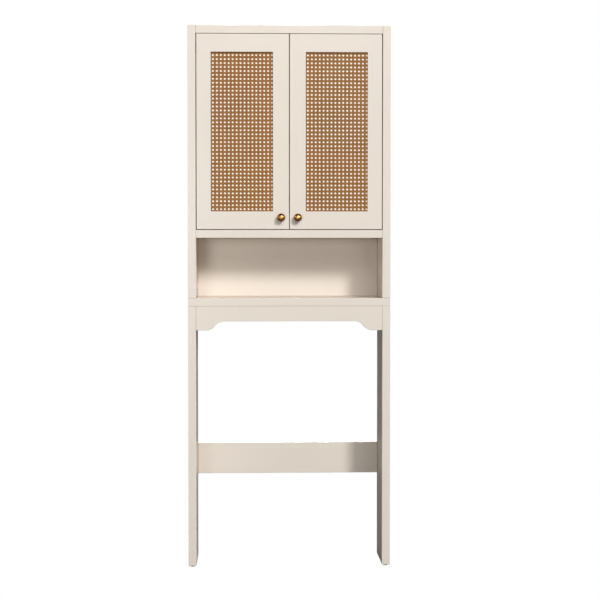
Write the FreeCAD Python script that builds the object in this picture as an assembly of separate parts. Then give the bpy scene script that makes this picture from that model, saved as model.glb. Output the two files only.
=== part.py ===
import FreeCAD, Part
import math
import os

from FreeCAD import Vector

# Over-the-toilet storage rack, millimetres. +X is to the right seen from the front, the front
# faces -Y and +Z is up. The origin is the bottom centre of the whole rack, knobs included.
# Depths are given as v, the distance behind the plane of the front edges.

# ---- Overall sizes -------------------------------------------------------------------------
OVERALL_WIDTH = 635.0
OVERALL_HEIGHT = 1700.0
CARCASS_DEPTH = 200.0
BOARD = 25.0                  # sides, top, floor, base, legs, apron and brace
EDGE_ROUND = 1.2              # painted edges of the boards

# ---- Heights of the fixed boards -----------------------------------------------------------
GLIDE_HEIGHT = 6.0
BASE_TOP = 849.0              # top face of the base board
FLOOR_TOP = 1063.0            # top face of the cabinet floor
BRACE_BOTTOM = 274.0
BRACE_HEIGHT = 100.0

# ---- Apron ---------------------------------------------------------------------------------
APRON_HEIGHT = 47.5           # at its middle
APRON_DROP = 28.5             # how much further its end tabs hang down
APRON_TAB = 31.0              # flat length of an end tab
APRON_OGEE = 57.0             # length of the S-curve between tab and middle

# ---- Back panel and adjustable shelf -------------------------------------------------------
BACK_THICKNESS = 5.0
BACK_INSET = 10.0             # from the rear edges to the back panel
GROOVE_DEPTH = 6.0
GROOVE_CLEARANCE = 0.2
SHELF_THICKNESS = 18.0
SHELF_SETBACK = 45.0
SHELF_END_CLEARANCE = 1.0
SHELF_BACK_CLEARANCE = 0.3
PIN_RADIUS = 2.5
PIN_IN_BOARD = 9.0
PIN_IN_SHELF_SPACE = 8.0
PIN_PITCH = 32.0
PIN_FROM_SHELF_EDGE = 25.0    # pin rows from the shelf's front and rear edges

# ---- Doors ---------------------------------------------------------------------------------
DOOR_THICKNESS = 18.0
DOOR_GAP_SIDE = 2.2
DOOR_GAP_TOP = 1.2
DOOR_GAP_BOTTOM = 2.0
DOOR_GAP_MIDDLE = 2.2
STILE_INNER = 50.2
RAIL = 56.0
REBATE = 5.0                  # width of the rear rebate round the opening
LIP = 5.5                     # thickness of the frame in front of the cane
CANE_THICKNESS = 2.0
BACKING_THICKNESS = 3.0
INFILL_CLEARANCE = 0.1

# ---- Knobs ---------------------------------------------------------------------------------
KNOB_RADIUS = 12.5
KNOB_STANDOFF = 1.0           # from the door to the ball
KNOB_NECK_RADIUS = 4.5
KNOB_FLANGE_RADIUS = 7.5
KNOB_FLANGE_THICKNESS = 1.8
KNOB_ABOVE_DOOR = 36.5
KNOB_SCREW_RADIUS = 2.0
KNOB_SCREW_REACH = 10.0       # thread length inside the knob

# ---- Concealed hinges ----------------------------------------------------------------------
HINGE_FROM_END = 90.0         # hinge centre from the door's top or bottom edge
CUP_RADIUS = 17.5
CUP_FACE = 4.5                # wood left in front of the cup
CUP_TAB = 3.0                 # from the door's edge to the cup's edge
CUP_WEB = 2.0                 # wood between the cup and the rebate
CUP_WALL = 1.0
CUP_FLOOR = 0.8
CUP_FLANGE = 1.0
CUP_RIM = 1.0                 # the flange's reach beyond the cup
EAR_SCREW_GAP = 5.5           # from the cup's edge to the ear's screw, upwards and downwards
EAR_END = 5.0                 # from the screw to the ear's end
EAR_NEAR = 6.0                # the ears' reach from the cup's centre, towards the edge
EAR_FAR = 11.0                # and away from it
EAR_SCREW_U = 6.0
PIN_FROM_EDGE = 17.0          # hinge pin from the door's edge
HINGE_PIN_RADIUS = 1.25
RUNNING_CLEARANCE = 0.05
EYE_WALL = 0.95
EYE_CLEARANCE = 0.5           # between the eye and the cup's floor
ARM_THICKNESS = 2.0
ARM_HEIGHT = 12.0
ARM_RIM_GAP = 4.3             # from the arm's middle to the cup's far rim
ARM_NOSE_CLEARANCE = 3.9      # the arm's first bend behind the cup's flange
ARM_CLEARANCE = 1.3           # between the arm and the door's edge as it swings past
PLATE_THICKNESS = 2.0
PLATE_BLOCK = 3.0
PLATE_LENGTH = 26.0
PLATE_HALF = 22.0
PLATE_FROM_CROSSING = 4.0     # the plate's front end behind the arm's run across
PLATE_SCREW_Z = 16.0
PLATE_SCREW_IN = 12.0         # screws from the plate's front end
ARM_SCREW_IN = 18.0

# ---- Magnetic catch ------------------------------------------------------------------------
CATCH_HALF_WIDTH = 25.0
CATCH_HEIGHT = 14.0
CATCH_DEPTH = 25.0
STRIKE_THICKNESS = 1.0
STRIKE_GAP = 0.4              # between strike plate and magnet with the door shut
MAGNET_INNER = 8.0
MAGNET_WIDTH = 12.0
MAGNET_DEPTH = 8.0
MAGNET_HEIGHT = 8.0
MAGNET_PROUD = 0.4
CATCH_SCREW_DEPTHS = (8.0, 18.0)

# ---- Board joints --------------------------------------------------------------------------
CAM_SETBACK = 34.0            # cam centre from the board's end
CAM_RADIUS = 7.5
CAM_BELOW_BOLT = 3.5          # the nut's reach past the bolt's axis
CAM_CLEARANCE = 0.1
CAM_SLOT_RADIUS = 3.3
CAM_CAP_RADIUS = 8.5
CAM_CAP_THICKNESS = 1.0
BOLT_RADIUS = 3.0
BOLT_END_GAP = 1.5            # from the thread's end to the middle of the host board
BOLT_NECK_RADIUS = 1.8
BOLT_HEAD_RADIUS = 2.8
BOLT_HEAD_LENGTH = 3.0
BOLT_NECK_LENGTH = 5.0
BOLT_BORE_RADIUS = 3.5
DOWEL_RADIUS = 4.0
DOWEL_LENGTH = 30.0
DRILL_CLEARANCE = 0.1
DRILL_SPARE = 0.5             # extra depth of a blind hole
CAM_FROM_FRONT = 60.0         # cam bolts of the deep boards, from the front edges
CAM_FROM_REAR = 50.0          # and from the rear edges
FRONT_DOWEL = 30.0            # front dowel of the top panel and the cabinet floor
UPPER_DOWEL_SPACING = 30.0    # between the two dowels under each upper side panel

# ---- Screws, brackets and glides -----------------------------------------------------------
SCREW_RADIUS = 2.0
SCREW_HEAD_RADIUS = 4.0
SCREW_HEAD_HEIGHT = 1.5
SMALL_SCREW_RADIUS = 1.5
SMALL_HEAD_RADIUS = 2.6
SCREW_CLEARANCE = 0.05
BRACKET_SPACING = 400.0
BRACKET_WIDTH = 16.0
BRACKET_LEG = 30.0
BRACKET_THICKNESS = 2.0
WALL_HOLE_RADIUS = 2.5
WALL_HOLE_BELOW_TOP = 20.0    # below the top panel's underside
GLIDE_RADIUS = 9.0
GLIDE_SOLE_RADIUS = 4.5
GLIDE_FROM_EDGE = 25.0
GLIDE_SOLE_WALL = 2.0
NAIL_RADIUS = 1.2
NAIL_LENGTH = 18.0

# ---- Places worked out from the sizes above ------------------------------------------------
KNOB_PROJECTION = KNOB_STANDOFF + 2 * KNOB_RADIUS
OVERALL_DEPTH = CARCASS_DEPTH + KNOB_PROJECTION
FRONT_Y = KNOB_PROJECTION - OVERALL_DEPTH / 2
OUTER_X = OVERALL_WIDTH / 2
INNER_X = OUTER_X - BOARD
BASE_BOTTOM = BASE_TOP - BOARD
FLOOR_BOTTOM = FLOOR_TOP - BOARD
TOP_BOTTOM = OVERALL_HEIGHT - BOARD
BACK_V1 = CARCASS_DEPTH - BACK_INSET
BACK_V0 = BACK_V1 - BACK_THICKNESS
DOOR_WIDTH = (2 * INNER_X - DOOR_GAP_MIDDLE - 2 * DOOR_GAP_SIDE) / 2
DOOR_BOTTOM = FLOOR_TOP + DOOR_GAP_BOTTOM
DOOR_TOP = TOP_BOTTOM - DOOR_GAP_TOP
STILE_OUTER = CUP_TAB + 2 * CUP_RADIUS + CUP_WEB + REBATE
HINGE_LEVELS = {"lower": DOOR_BOTTOM + HINGE_FROM_END, "upper": DOOR_TOP - HINGE_FROM_END}
SHELF_BOTTOM = (FLOOR_TOP + TOP_BOTTOM - SHELF_THICKNESS) / 2
SHELF_BACK = BACK_V0 - SHELF_BACK_CLEARANCE
PIN_DEPTHS = (SHELF_SETBACK + PIN_FROM_SHELF_EDGE, SHELF_BACK - PIN_FROM_SHELF_EDGE)

CUP_DEPTH = DOOR_THICKNESS - CUP_FACE
EAR_SCREW_Z = CUP_RADIUS + EAR_SCREW_GAP
EYE_RADIUS = HINGE_PIN_RADIUS + EYE_WALL
PIN_FROM_FRONT = CUP_FACE + CUP_FLOOR + EYE_CLEARANCE + EYE_RADIUS
RIM_RISE = DOOR_THICKNESS + CUP_FLANGE - PIN_FROM_FRONT
RIM_REACH = CUP_TAB + 2 * CUP_RADIUS - CUP_WALL - PIN_FROM_EDGE
ARM_SLANT = math.atan2(RIM_RISE, RIM_REACH - ARM_RIM_GAP)
ARM_NOSE = (RIM_RISE + ARM_NOSE_CLEARANCE) / math.sin(ARM_SLANT)
DOOR_SWEEP = math.hypot(PIN_FROM_EDGE, DOOR_THICKNESS - PIN_FROM_FRONT)
ARM_CROSSING = PIN_FROM_FRONT + DOOR_SWEEP + ARM_CLEARANCE + ARM_THICKNESS / 2
PLATE_START = ARM_CROSSING + PLATE_FROM_CROSSING
PLATE_END = PLATE_START + PLATE_LENGTH

CAM_HEIGHT = BOARD / 2 + CAM_BELOW_BOLT
BOLT_THREAD = BOARD / 2 - BOLT_END_GAP
CAM_DEPTHS = (CAM_FROM_FRONT, CARCASS_DEPTH - CAM_FROM_REAR)
CAM_MIDDLE = sum(CAM_DEPTHS) / 2
SHELF_DOWEL_DEPTHS = (FRONT_DOWEL, CAM_MIDDLE)
UPPER_DOWEL_DEPTHS = (CAM_MIDDLE - UPPER_DOWEL_SPACING / 2, CAM_MIDDLE + UPPER_DOWEL_SPACING / 2)

X = Vector(1, 0, 0)
Y = Vector(0, 1, 0)
Z = Vector(0, 0, 1)

nodes = {}


# ---- Small shape helpers -------------------------------------------------------------------
def at(x, v, z):
    """The point at x, at the depth v behind the front edges, at the height z."""
    return Vector(x, FRONT_Y + v, z)


def block(x0, x1, v0, v1, z0, z1):
    """A plain box between two corners."""
    return Part.makeBox(x1 - x0, v1 - v0, z1 - z0, at(x0, v0, z0))


def rounded(shape, radius=EDGE_ROUND):
    """The shape with every edge rounded."""
    return shape.makeFillet(radius, shape.Edges)


def rod(start, direction, length, radius):
    """A round bar from a point along a direction."""
    return Part.makeCylinder(radius, length, start, direction)


def joined(*shapes):
    """One solid from shapes that overlap or touch."""
    whole = shapes[0]
    for shape in shapes[1:]:
        whole = whole.fuse(shape)
    return whole.removeSplitter()


def mirrored(shape):
    """The right-hand twin of a left-hand shape."""
    return shape.mirror(Vector(0, 0, 0), X)


def keep(name, shapes):
    """Add solids to a node."""
    nodes.setdefault(name, []).extend(shapes)


def cut_from(name, tools):
    """Cut tools out of the one solid of a node."""
    nodes[name] = [nodes[name][0].cut(list(tools))]


def screw(node, boards, seat, direction, length, radius=SCREW_RADIUS, head=SCREW_HEAD_RADIUS):
    """A screw whose head sits on the seat; its hole is cut through or into the boards."""
    shank = rod(seat, direction, length, radius)
    cap = rod(seat - direction * SCREW_HEAD_HEIGHT, direction, SCREW_HEAD_HEIGHT, head)
    keep(node, [joined(shank, cap)])
    hole = rod(seat, direction, length + DRILL_SPARE, radius + SCREW_CLEARANCE)
    for board in boards:
        cut_from(board, [hole])


# ---- Board joints --------------------------------------------------------------------------
def cam_joint(host, board, seat, inward, opening, capped=True):
    """A cam bolt from the host board into the end of another, and the cam nut that pulls it in.

    seat is on the joint's plane, inward points from the host into the board, and opening
    points out of the board's face that the nut is turned from. A nut that faces the wall
    has no cap.
    """
    centre = seat + inward * CAM_SETBACK
    neck_start = CAM_SETBACK - BOLT_HEAD_LENGTH / 2 - BOLT_NECK_LENGTH
    bolt = joined(
        rod(seat - inward * BOLT_THREAD, inward, BOLT_THREAD + neck_start, BOLT_RADIUS),
        rod(seat + inward * neck_start, inward, BOLT_NECK_LENGTH, BOLT_NECK_RADIUS),
        rod(centre - inward * (BOLT_HEAD_LENGTH / 2), inward, BOLT_HEAD_LENGTH, BOLT_HEAD_RADIUS),
    )
    keep("cam_bolts", [bolt])
    face = centre + opening * (BOARD / 2)
    nut = rod(face, -opening, CAM_HEIGHT, CAM_RADIUS)
    slot_end = centre + inward * BOLT_HEAD_LENGTH
    slot = rod(slot_end, -inward, CAM_RADIUS + 2 * BOLT_HEAD_LENGTH, CAM_SLOT_RADIUS)
    keep("cam_nuts", [nut.cut(slot)])
    if capped:
        keep("cam_caps", [rod(face, opening, CAM_CAP_THICKNESS, CAM_CAP_RADIUS)])
    cut_from(host, [rod(seat, -inward, BOLT_THREAD + DRILL_SPARE, BOLT_RADIUS + DRILL_CLEARANCE)])
    cut_from(board, [
        rod(seat, inward, CAM_SETBACK, BOLT_BORE_RADIUS),
        rod(face, -opening, CAM_HEIGHT + DRILL_SPARE, CAM_RADIUS + CAM_CLEARANCE),
    ])


def dowel_joint(host, board, seat, inward):
    """A wooden dowel, half in the host and half in the end of the other board."""
    start = seat - inward * (DOWEL_LENGTH / 2)
    keep("wood_dowels", [rod(start, inward, DOWEL_LENGTH, DOWEL_RADIUS)])
    hole_start = start - inward * DRILL_SPARE
    hole = rod(hole_start, inward, DOWEL_LENGTH + 2 * DRILL_SPARE, DOWEL_RADIUS + DRILL_CLEARANCE)
    cut_from(host, [hole])
    cut_from(board, [hole])


# ---- Boards --------------------------------------------------------------------------------
def make_uprights():
    """Upper side panels and leg panels, the side panels grooved for the back panel."""
    side = rounded(block(-OUTER_X, -INNER_X, 0, CARCASS_DEPTH, BASE_TOP, OVERALL_HEIGHT))
    groove = block(
        -INNER_X - GROOVE_DEPTH, 0, BACK_V0 - GROOVE_CLEARANCE, BACK_V1 + GROOVE_CLEARANCE,
        BASE_BOTTOM, TOP_BOTTOM + GROOVE_DEPTH,
    )
    side = side.cut(groove)
    leg = rounded(block(-OUTER_X, -INNER_X, 0, CARCASS_DEPTH, GLIDE_HEIGHT, BASE_BOTTOM))
    keep("upper_side_left", [side])
    keep("upper_side_right", [mirrored(side)])
    keep("leg_panel_left", [leg])
    keep("leg_panel_right", [mirrored(leg)])


def make_level_boards():
    """Top panel, cabinet floor and base board; the outer two are grooved for the back panel."""
    groove_v = (BACK_V0 - GROOVE_CLEARANCE, BACK_V1 + GROOVE_CLEARANCE)
    groove_x = INNER_X + GROOVE_DEPTH
    top = rounded(block(-INNER_X, INNER_X, 0, CARCASS_DEPTH, TOP_BOTTOM, OVERALL_HEIGHT))
    top_groove = block(-groove_x, groove_x, *groove_v, FLOOR_TOP, TOP_BOTTOM + GROOVE_DEPTH)
    base = rounded(block(-OUTER_X, OUTER_X, 0, CARCASS_DEPTH, BASE_BOTTOM, BASE_TOP))
    base_groove = block(-groove_x, groove_x, *groove_v, BASE_TOP - GROOVE_DEPTH, FLOOR_TOP)
    floor = rounded(block(-INNER_X, INNER_X, 0, SHELF_BACK, FLOOR_BOTTOM, FLOOR_TOP))
    keep("top_panel", [top.cut(top_groove)])
    keep("base_board", [base.cut(base_groove)])
    keep("cabinet_floor", [floor])


def make_back_panel():
    """A thin panel held in the grooves of the sides, the top panel and the base board."""
    reach = GROOVE_DEPTH - GROOVE_CLEARANCE
    keep("back_panel", [block(
        -INNER_X - reach, INNER_X + reach, BACK_V0, BACK_V1, BASE_TOP - reach, TOP_BOTTOM + reach,
    )])


def apron_outline():
    """The apron's outline in the plane of the front edges: end tabs, S-curves, straight middle."""
    top = BASE_BOTTOM
    middle = top - APRON_HEIGHT
    low = middle - APRON_DROP
    start = -INNER_X + APRON_TAB
    end = start + APRON_OGEE
    half = Vector((start + end) / 2, 0, (low + middle) / 2)
    radius = (APRON_OGEE ** 2 + APRON_DROP ** 2) / (4 * APRON_DROP)
    swing = math.asin(APRON_OGEE / 2 / radius) / 2
    lower_mid = Vector(start + radius * math.sin(swing), 0, low + radius * (1 - math.cos(swing)))
    upper_mid = Vector(end - radius * math.sin(swing), 0, middle - radius * (1 - math.cos(swing)))

    def flip(point):
        return Vector(-point.x, point.y, point.z)

    tab_corner = Vector(-INNER_X, 0, low)
    tab_end = Vector(start, 0, low)
    ogee_end = Vector(end, 0, middle)
    top_corner = Vector(-INNER_X, 0, top)
    edges = [
        Part.makeLine(top_corner, tab_corner),
        Part.makeLine(tab_corner, tab_end),
        Part.Arc(tab_end, lower_mid, half).toShape(),
        Part.Arc(half, upper_mid, ogee_end).toShape(),
        Part.makeLine(ogee_end, flip(ogee_end)),
        Part.Arc(flip(ogee_end), flip(upper_mid), flip(half)).toShape(),
        Part.Arc(flip(half), flip(lower_mid), flip(tab_end)).toShape(),
        Part.makeLine(flip(tab_end), flip(tab_corner)),
        Part.makeLine(flip(tab_corner), flip(top_corner)),
        Part.makeLine(flip(top_corner), top_corner),
    ]
    return Part.Wire(edges)


def make_rails():
    """The scalloped apron at the front and the plain brace at the rear, between the legs."""
    outline = apron_outline()
    outline.translate(Vector(0, FRONT_Y, 0))
    apron = rounded(Part.Face(outline).extrude(Y * BOARD))
    brace = rounded(block(
        -INNER_X, INNER_X, CARCASS_DEPTH - BOARD, CARCASS_DEPTH,
        BRACE_BOTTOM, BRACE_BOTTOM + BRACE_HEIGHT,
    ))
    keep("apron_front", [apron])
    keep("rear_brace", [brace])


def make_board_joints():
    """Cams and dowels at every board end, the same on both sides."""
    for side, sign in (("left", -1), ("right", 1)):
        wall = "upper_side_" + side
        leg = "leg_panel_" + side
        inward = X * -sign
        middle_x = sign * (OUTER_X - BOARD / 2)
        for board, bottom in (("top_panel", TOP_BOTTOM), ("cabinet_floor", FLOOR_BOTTOM)):
            for v in CAM_DEPTHS:
                cam_joint(wall, board, at(sign * INNER_X, v, bottom + BOARD / 2), inward, -Z)
            for v in SHELF_DOWEL_DEPTHS:
                dowel_joint(wall, board, at(sign * INNER_X, v, bottom + BOARD / 2), inward)
        for v in CAM_DEPTHS:
            cam_joint("base_board", wall, at(middle_x, v, BASE_TOP), Z, inward)
            cam_joint("base_board", leg, at(middle_x, v, BASE_BOTTOM), -Z, inward)
        for v in UPPER_DOWEL_DEPTHS:
            dowel_joint("base_board", wall, at(middle_x, v, BASE_TOP), Z)
        dowel_joint("base_board", leg, at(middle_x, CAM_MIDDLE, BASE_BOTTOM), -Z)
        apron_z = BASE_BOTTOM - APRON_HEIGHT / 2
        cam_joint(leg, "apron_front", at(sign * INNER_X, BOARD / 2, apron_z), inward, Y)
        tab_z = BASE_BOTTOM - APRON_HEIGHT - APRON_DROP / 4
        dowel_joint(leg, "apron_front", at(sign * INNER_X, BOARD / 2, tab_z), inward)
        brace_v = CARCASS_DEPTH - BOARD / 2
        for share in (0.25, 0.75):
            cam_z = BRACE_BOTTOM + share * BRACE_HEIGHT
            seat = at(sign * INNER_X, brace_v, cam_z)
            cam_joint(leg, "rear_brace", seat, inward, Y, capped=False)
        dowel_z = BRACE_BOTTOM + BRACE_HEIGHT / 2
        dowel_joint(leg, "rear_brace", at(sign * INNER_X, brace_v, dowel_z), inward)


def make_shelf():
    """The adjustable shelf on four pins, with spare rows of pin holes above and below."""
    half = INNER_X - SHELF_END_CLEARANCE
    top = SHELF_BOTTOM + SHELF_THICKNESS
    shelf = block(-half, half, SHELF_SETBACK, SHELF_BACK, SHELF_BOTTOM, top)
    keep("adjustable_shelf", [rounded(shelf)])
    level = SHELF_BOTTOM - PIN_RADIUS
    for side, sign in (("left", -1), ("right", 1)):
        holes = []
        for v in PIN_DEPTHS:
            for row in (-1, 0, 1):
                mouth = at(sign * INNER_X, v, level + row * PIN_PITCH)
                depth = PIN_IN_BOARD + DRILL_SPARE
                holes.append(rod(mouth, X * sign, depth, PIN_RADIUS + DRILL_CLEARANCE))
            start = at(sign * (INNER_X - PIN_IN_SHELF_SPACE), v, level)
            length = PIN_IN_BOARD + PIN_IN_SHELF_SPACE
            keep("shelf_pins", [rod(start, X * sign, length, PIN_RADIUS)])
        cut_from("upper_side_" + side, holes)


# ---- Doors, modelled for the left side and mirrored ----------------------------------------
DOOR_EDGE = -INNER_X + DOOR_GAP_SIDE          # hinge edge of the left door
OPENING_X0 = DOOR_EDGE + STILE_OUTER
OPENING_X1 = DOOR_EDGE + DOOR_WIDTH - STILE_INNER
OPENING_Z0 = DOOR_BOTTOM + RAIL
OPENING_Z1 = DOOR_TOP - RAIL
CANE_BACK = LIP + CANE_THICKNESS
BACKING_BACK = CANE_BACK + BACKING_THICKNESS


def infill(v0, v1, clearance=INFILL_CLEARANCE):
    """A sheet that fills the door's rebate between two depths."""
    grow = REBATE - clearance
    return block(OPENING_X0 - grow, OPENING_X1 + grow, v0, v1, OPENING_Z0 - grow, OPENING_Z1 + grow)


def make_door_frame():
    """One-piece frame: a panel with the opening cut out and a rebate behind it."""
    panel = rounded(block(
        DOOR_EDGE, DOOR_EDGE + DOOR_WIDTH, 0, DOOR_THICKNESS, DOOR_BOTTOM, DOOR_TOP,
    ))
    opening = block(OPENING_X0, OPENING_X1, -1, DOOR_THICKNESS, OPENING_Z0, OPENING_Z1)
    return panel.cut([opening, infill(LIP, DOOR_THICKNESS + 1, 0)])


def make_beads():
    """Four square beads that close the rebate behind the backing board."""
    x0, x1 = OPENING_X0 - REBATE + INFILL_CLEARANCE, OPENING_X1 + REBATE - INFILL_CLEARANCE
    z0, z1 = OPENING_Z0 - REBATE + INFILL_CLEARANCE, OPENING_Z1 + REBATE - INFILL_CLEARANCE
    v = (BACKING_BACK, DOOR_THICKNESS)
    wide = REBATE - INFILL_CLEARANCE
    return [
        block(x0, x1, *v, z0, z0 + wide),
        block(x0, x1, *v, z1 - wide, z1),
        block(x0, x0 + wide, *v, z0 + wide, z1 - wide),
        block(x1 - wide, x1, *v, z0 + wide, z1 - wide),
    ]


def make_knob():
    """A ball knob on a short neck and flange, tapped for its screw."""
    seat = at(DOOR_EDGE + DOOR_WIDTH - STILE_INNER / 2, 0, DOOR_BOTTOM + KNOB_ABOVE_DOOR)
    centre = seat - Y * (KNOB_PROJECTION - KNOB_RADIUS)
    ball = Part.makeSphere(KNOB_RADIUS, centre)
    neck = rod(seat, -Y, KNOB_PROJECTION - KNOB_RADIUS, KNOB_NECK_RADIUS)
    flange = rod(seat, -Y, KNOB_FLANGE_THICKNESS, KNOB_FLANGE_RADIUS)
    thread = rod(seat, -Y, KNOB_SCREW_REACH + DRILL_SPARE, KNOB_SCREW_RADIUS + SCREW_CLEARANCE)
    return joined(ball, neck, flange).cut(thread), seat


def hinge_pin_xy():
    """x and v of the left door's hinge axis."""
    return DOOR_EDGE + PIN_FROM_EDGE, PIN_FROM_FRONT


def make_hinge_cup(level):
    """Pressed steel cup with its flange and screw ears, open to the rear."""
    centre_x = DOOR_EDGE + CUP_TAB + CUP_RADIUS
    ear_half = EAR_SCREW_Z + EAR_END
    flange_back = DOOR_THICKNESS + CUP_FLANGE
    shell = rod(at(centre_x, CUP_FACE, level), Y, CUP_DEPTH, CUP_RADIUS)
    rim = rod(at(centre_x, DOOR_THICKNESS, level), Y, CUP_FLANGE, CUP_RADIUS + CUP_RIM)
    ears = block(
        centre_x - EAR_NEAR, centre_x + EAR_FAR, DOOR_THICKNESS, flange_back,
        level - ear_half, level + ear_half,
    )
    upright = [edge for edge in ears.Edges if abs(edge.tangentAt(edge.FirstParameter).y) > 0.9]
    ears = ears.makeFillet(EAR_NEAR, upright)
    hollow = rod(at(centre_x, CUP_FACE + CUP_FLOOR, level), Y, CUP_DEPTH + CUP_FLANGE,
                 CUP_RADIUS - CUP_WALL)
    pin_x, pin_v = hinge_pin_xy()
    pin_hole = rod(at(pin_x, pin_v, level - CUP_RADIUS), Z, 2 * CUP_RADIUS,
                   HINGE_PIN_RADIUS + RUNNING_CLEARANCE)
    return joined(shell, rim, ears).cut([hollow, pin_hole])


def make_hinge_pin(level):
    """The pin across the cup, its ends in the cup's wall."""
    pin_x, pin_v = hinge_pin_xy()
    offset = CUP_TAB + CUP_RADIUS - PIN_FROM_EDGE
    half = math.sqrt((CUP_RADIUS - CUP_WALL / 2) ** 2 - offset ** 2)
    return rod(at(pin_x, pin_v, level - half), Z, 2 * half, HINGE_PIN_RADIUS)


def make_hinge_arm(level):
    """A strap from the mounting plate, round the door's edge, to an eye on the pin."""
    pin_x, pin_v = hinge_pin_xy()
    strap_x = -INNER_X + PLATE_THICKNESS + PLATE_BLOCK + ARM_THICKNESS / 2
    bottom = level - ARM_HEIGHT / 2
    nose_x = pin_x + ARM_NOSE * math.cos(ARM_SLANT)
    path = Part.makePolygon([
        at(pin_x, pin_v, bottom),
        at(nose_x, pin_v + ARM_NOSE * math.sin(ARM_SLANT), bottom),
        at(nose_x, ARM_CROSSING, bottom),
        at(strap_x, ARM_CROSSING, bottom),
        at(strap_x, PLATE_END - ARM_THICKNESS, bottom),
    ])
    outline = path.makeOffset2D(ARM_THICKNESS / 2, 0, False, False)
    strap = Part.Face(outline).extrude(Z * ARM_HEIGHT)
    eye = rod(at(pin_x, pin_v, bottom), Z, ARM_HEIGHT, EYE_RADIUS)
    bore = rod(at(pin_x, pin_v, bottom), Z, ARM_HEIGHT, HINGE_PIN_RADIUS + RUNNING_CLEARANCE)
    return joined(strap, eye).cut(bore)


def make_hinge_plate(level):
    """A flat plate on the side panel with a raised block under the arm."""
    plate_x = -INNER_X + PLATE_THICKNESS
    plate = block(-INNER_X, plate_x, PLATE_START, PLATE_END, level - PLATE_HALF, level + PLATE_HALF)
    rise = block(
        plate_x, plate_x + PLATE_BLOCK, PLATE_START, PLATE_END,
        level - ARM_HEIGHT / 2, level + ARM_HEIGHT / 2,
    )
    return joined(plate, rise)


def make_strike():
    """The strike plate behind the door's top corner, countersunk for its screw."""
    x0 = -MAGNET_INNER - MAGNET_WIDTH - 1
    x1 = -MAGNET_INNER + 1
    z_mid = TOP_BOTTOM - CATCH_HEIGHT / 2
    z_top = DOOR_TOP - EDGE_ROUND
    plate = block(x0, x1, DOOR_THICKNESS, DOOR_THICKNESS + STRIKE_THICKNESS,
                  TOP_BOTTOM - CATCH_HEIGHT, z_top)
    head_depth = STRIKE_THICKNESS * 0.6
    centre_x = (x0 + x1) / 2
    head_seat = at(centre_x, DOOR_THICKNESS + STRIKE_THICKNESS - head_depth, z_mid)
    head = rod(head_seat, Y, head_depth, SMALL_HEAD_RADIUS)
    shank = rod(head_seat, -Y, DOOR_THICKNESS / 2, SMALL_SCREW_RADIUS)
    sink = rod(head_seat, Y, head_depth, SMALL_HEAD_RADIUS + SCREW_CLEARANCE)
    hole = rod(head_seat, -Y, DOOR_THICKNESS / 2 + DRILL_SPARE, SMALL_SCREW_RADIUS + SCREW_CLEARANCE)
    return plate.cut([sink, hole]), joined(head, shank), hole


def make_left_door():
    """Every piece of the left door and of its hinges, and the holes they need."""
    keep("door_frame_left", [make_door_frame()])
    keep("cane_panel_left", [infill(LIP, CANE_BACK)])
    keep("backing_board_left", [infill(CANE_BACK, BACKING_BACK)])
    keep("backing_beads_left", make_beads())

    knob, knob_seat = make_knob()
    keep("knob_left", [knob])
    rear = knob_seat + Y * DOOR_THICKNESS
    screw("knob_screw_left", ["door_frame_left"], rear, -Y, DOOR_THICKNESS + KNOB_SCREW_REACH,
          KNOB_SCREW_RADIUS)

    strike, strike_screw, strike_hole = make_strike()
    keep("strike_plate_left", [strike])
    keep("strike_screw_left", [strike_screw])
    cut_from("door_frame_left", [strike_hole])

    cup_x = DOOR_EDGE + CUP_TAB + CUP_RADIUS
    for name, level in HINGE_LEVELS.items():
        cup, plate, arm = ("hinge_%s_left_%s" % (part, name) for part in ("cup", "plate", "arm"))
        keep(cup, [make_hinge_cup(level)])
        keep(plate, [make_hinge_plate(level)])
        keep(arm, [make_hinge_arm(level)])
        keep("hinge_pins_left", [make_hinge_pin(level)])
        bore = rod(at(cup_x, CUP_FACE - DRILL_CLEARANCE, level), Y, DOOR_THICKNESS,
                   CUP_RADIUS + DRILL_CLEARANCE)
        cut_from("door_frame_left", [bore])
        hold_v = PLATE_START + PLATE_SCREW_IN
        for turn in (-1, 1):
            ear = at(cup_x + EAR_SCREW_U, DOOR_THICKNESS + CUP_FLANGE, level + turn * EAR_SCREW_Z)
            screw("hinge_cup_screws_left", [cup, "door_frame_left"], ear, -Y, DOOR_THICKNESS * 0.6)
            hold = at(-INNER_X + PLATE_THICKNESS, hold_v, level + turn * PLATE_SCREW_Z)
            screw("hinge_plate_screws", [plate, "upper_side_left"], hold, -X, BOARD * 0.6)
        strap_x = -INNER_X + PLATE_THICKNESS + PLATE_BLOCK + ARM_THICKNESS
        clamp = at(strap_x, PLATE_START + ARM_SCREW_IN, level)
        screw("hinge_arm_screws", [arm, plate], clamp, -X, strap_x + INNER_X - 1)


CARCASS_PAIRS = ("upper_side_left", "leg_panel_left")   # left nodes that are no part of a door


def mirror_doors():
    """The right door and its hinges are the left ones mirrored."""
    for name in [name for name in nodes if "left" in name and name not in CARCASS_PAIRS]:
        keep(name.replace("left", "right"), [mirrored(solid) for solid in nodes[name]])
    for name in ("hinge_plate_screws", "hinge_arm_screws"):
        keep(name, [mirrored(solid) for solid in nodes[name]])
    holes = []
    for level in HINGE_LEVELS.values():
        for turn in (-1, 1):
            hold = at(INNER_X, PLATE_START + PLATE_SCREW_IN, level + turn * PLATE_SCREW_Z)
            holes.append(rod(hold, X, BOARD * 0.6, SCREW_RADIUS + SCREW_CLEARANCE))
    cut_from("upper_side_right", holes)


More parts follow.
